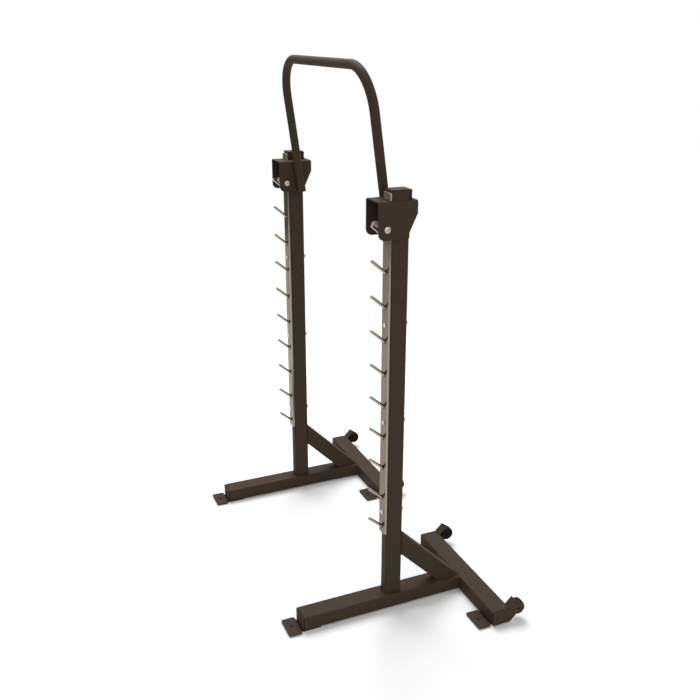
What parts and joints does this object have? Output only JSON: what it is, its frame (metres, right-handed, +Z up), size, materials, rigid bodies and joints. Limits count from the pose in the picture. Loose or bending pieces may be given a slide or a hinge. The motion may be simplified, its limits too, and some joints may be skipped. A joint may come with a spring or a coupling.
{
  "type": "squat stand",
  "caption": "Pair of free-standing squat stands with slanted bar catches and rear wheels, tied by a leaning lift-off arch.",
  "frame": {"origin": "centre of the footprint, on the floor", "axes": "+Z up, +X from the lifter's side of the posts to the wheels, +Y to the left stand"},
  "size_m": [0.9788, 1.8194, 2.287],
  "materials": {
    "powder_coat": "satin dark brown powder coat",
    "strip_steel": "bright steel with a warm clear coat",
    "bright_steel": "zinc plated",
    "zinc_steel": "yellow zinc plated",
    "dark_steel": "black oxide",
    "wheel_plastic": "moulded, matt",
    "black_rubber": "matt"
  },
  "bodies": {
    "stands": {"right_leg": "powder_coat", "right_cross_tube": "powder_coat", "right_upright": "powder_coat", "right_brace": "powder_coat", "right_catch_strip": "strip_steel", "right_outer_wheel_bracket": "powder_coat", "right_inner_wheel_bracket": "powder_coat", "right_front_anchor_plate": "powder_coat", "right_outer_anchor_plate": "powder_coat", "right_inner_anchor_plate": "powder_coat", "right_front_pad": "black_rubber", "right_outer_pad": "black_rubber", "right_inner_pad": "black_rubber", "right_outer_axle": "dark_steel", "right_inner_axle": "dark_steel", "right_strip_bolt_1": "bright_steel", "right_strip_nut_1": "bright_steel", "right_strip_bolt_2": "bright_steel", "right_strip_nut_2": "bright_steel", "right_strip_bolt_3": "bright_steel", "right_strip_nut_3": "bright_steel", "right_strip_bolt_4": "bright_steel", "right_strip_nut_4": "bright_steel", "left_leg": "powder_coat", "left_cross_tube": "powder_coat", "left_upright": "powder_coat", "left_brace": "powder_coat", "left_catch_strip": "strip_steel", "left_outer_wheel_bracket": "powder_coat", "left_inner_wheel_bracket": "powder_coat", "left_front_anchor_plate": "powder_coat", "left_outer_anchor_plate": "powder_coat", "left_inner_anchor_plate": "powder_coat", "left_front_pad": "black_rubber", "left_outer_pad": "black_rubber", "left_inner_pad": "black_rubber", "left_outer_axle": "dark_steel", "left_inner_axle": "dark_steel", "left_strip_bolt_1": "bright_steel", "left_strip_nut_1": "bright_steel", "left_strip_bolt_2": "bright_steel", "left_strip_nut_2": "bright_steel", "left_strip_bolt_3": "bright_steel", "left_strip_nut_3": "bright_steel", "left_strip_bolt_4": "bright_steel", "left_strip_nut_4": "bright_steel"},
    "arch": {"arch_tube": "powder_coat", "right_saddle_bracket": "powder_coat", "right_hood": "powder_coat", "right_saddle_bolt": "bright_steel", "right_saddle_nut": "zinc_steel", "left_saddle_bracket": "powder_coat", "left_hood": "powder_coat", "left_saddle_bolt": "bright_steel", "left_saddle_nut": "zinc_steel"},
    "right_outer_wheel": {"right_outer_wheel": "wheel_plastic"},
    "right_inner_wheel": {"right_inner_wheel": "wheel_plastic"},
    "left_outer_wheel": {"left_outer_wheel": "wheel_plastic"},
    "left_inner_wheel": {"left_inner_wheel": "wheel_plastic"}
  },
  "joints": [
    {"name": "right_outer_wheel_spin", "type": "hinge", "parent": "stands", "child": "right_outer_wheel", "pos_m": [0.45763, -0.8857, 0.0602], "axis": [0, 1, 0], "continuous": true},
    {"name": "right_inner_wheel_spin", "type": "hinge", "parent": "stands", "child": "right_inner_wheel", "pos_m": [0.45763, -0.267, 0.0602], "axis": [0, 1, 0], "continuous": true},
    {"name": "left_outer_wheel_spin", "type": "hinge", "parent": "stands", "child": "left_outer_wheel", "pos_m": [0.45763, 0.8857, 0.0602], "axis": [0, 1, 0], "continuous": true},
    {"name": "left_inner_wheel_spin", "type": "hinge", "parent": "stands", "child": "left_inner_wheel", "pos_m": [0.45763, 0.267, 0.0602], "axis": [0, 1, 0], "continuous": true},
    {"name": "arch_lift", "type": "slide", "parent": "stands", "child": "arch", "axis": [0, 0, 1], "range_m": [0, 0.2]}
  ]
}
